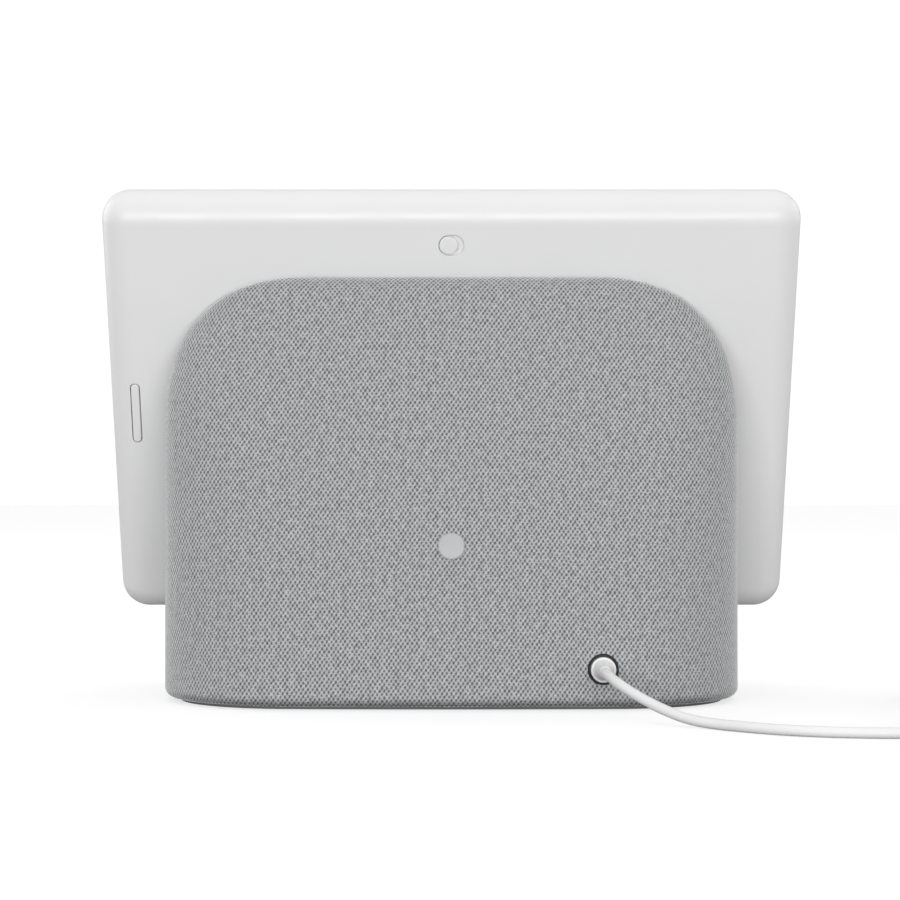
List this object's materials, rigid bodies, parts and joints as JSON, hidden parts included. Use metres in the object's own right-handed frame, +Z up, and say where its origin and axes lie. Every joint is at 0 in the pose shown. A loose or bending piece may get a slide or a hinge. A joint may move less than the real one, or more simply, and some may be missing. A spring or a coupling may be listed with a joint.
{
  "type": "smart display",
  "caption": "Tilted touch screen on a knit-covered speaker base, with a privacy slide switch, a volume rocker and a corded power plug and adapter.",
  "frame": {"origin": "on the table, under the middle of the object's box without its lead", "axes": "+Z up, the screen faces -Y, the lead leaves the back towards +Y, +X to the right when facing the screen"},
  "size_m": [0.34, 0.18, 0.1824],
  "materials": {
    "white_shell": "satin moulded white plastic",
    "cover_glass": "clear polished cover glass",
    "bezel_print": "pale printed border",
    "screen": "dark display panel, switched off",
    "aluminium": "stamped sheet",
    "steel": "plain plated steel",
    "brass": "plated contact metal",
    "circuit_board": "solder mask",
    "flex_film": "flexible circuit film",
    "black_plastic": "moulded black plastic",
    "dark_plastic": "moulded dark grey plastic",
    "grey_plastic": "moulded grey plastic",
    "knit_fabric": "pale grey knitted polyester with small dark eyelets",
    "grey_rubber": "matte silicone",
    "black_rubber": "matte rubber",
    "cone_paper": "pressed fibre cone",
    "badge_grey": "satin grey plastic",
    "white_cord": "smooth flexible white jacket",
    "white_adapter": "fine-textured white plastic"
  },
  "bodies": {
    "display": {"rear_cover": "white_shell", "front_glass": "cover_glass", "bezel_mask": "bezel_print", "lcd_panel": "screen", "mid_frame": "aluminium", "heat_spreader": "aluminium", "main_board": "circuit_board", "shield_can": "steel", "display_flex": "flex_film", "camera_module": "black_plastic", "light_sensor": "black_plastic", "microphone_left": "brass", "microphone_right": "brass", "slide_switch_body": "black_plastic", "volume_board": "circuit_board", "volume_down_switch": "black_plastic", "volume_up_switch": "black_plastic", "stand_bracket": "steel", "bracket_screw_1": "steel", "bracket_screw_2": "steel", "bracket_screw_3": "steel", "bracket_screw_4": "steel", "display_cable": "black_plastic", "fabric_sleeve": "knit_fabric", "speaker_housing": "dark_plastic", "base_plate": "grey_plastic", "rubber_foot": "grey_rubber", "base_screw_1": "steel", "base_screw_2": "steel", "base_screw_3": "steel", "base_screw_4": "steel", "rear_badge": "badge_grey", "woofer_basket": "steel", "woofer_magnet": "black_plastic", "woofer_cone": "cone_paper", "woofer_surround": "black_rubber", "woofer_dust_cap": "cone_paper", "tweeter_left": "black_plastic", "tweeter_right": "black_plastic", "power_board": "circuit_board", "dc_jack": "black_plastic", "jack_pin": "brass", "jack_ring": "dark_plastic", "speaker_harness": "black_plastic"},
    "privacy_switch": {"privacy_switch_knob": "white_shell"},
    "volume_control": {"volume_rocker": "white_shell"},
    "power_lead": {"plug_head": "white_cord", "plug_barrel": "steel", "plug_strain_relief": "white_cord", "cord_lead": "white_cord", "cord_coil": "white_cord", "cord_tail": "white_cord", "adapter_body": "white_adapter", "adapter_strain_relief": "white_cord", "adapter_prong_1": "brass", "adapter_prong_2": "brass"}
  },
  "joints": [
    {"name": "privacy_switch_slide", "type": "slide", "parent": "display", "child": "privacy_switch", "axis": [-1, 0, 0], "range_m": [0, 0.002]},
    {"name": "volume_rocker_pivot", "type": "hinge", "parent": "display", "child": "volume_control", "pos_m": [0.1153, -0.01015, 0.10377], "axis": [1, 0, 0], "range_deg": [-2, 2], "stiffness_Nm_per_rad": 0.35},
    {"name": "power_plug_pull", "type": "slide", "parent": "display", "child": "power_lead", "axis": [0, 1, 0], "range_m": [0, 0.02]}
  ]
}
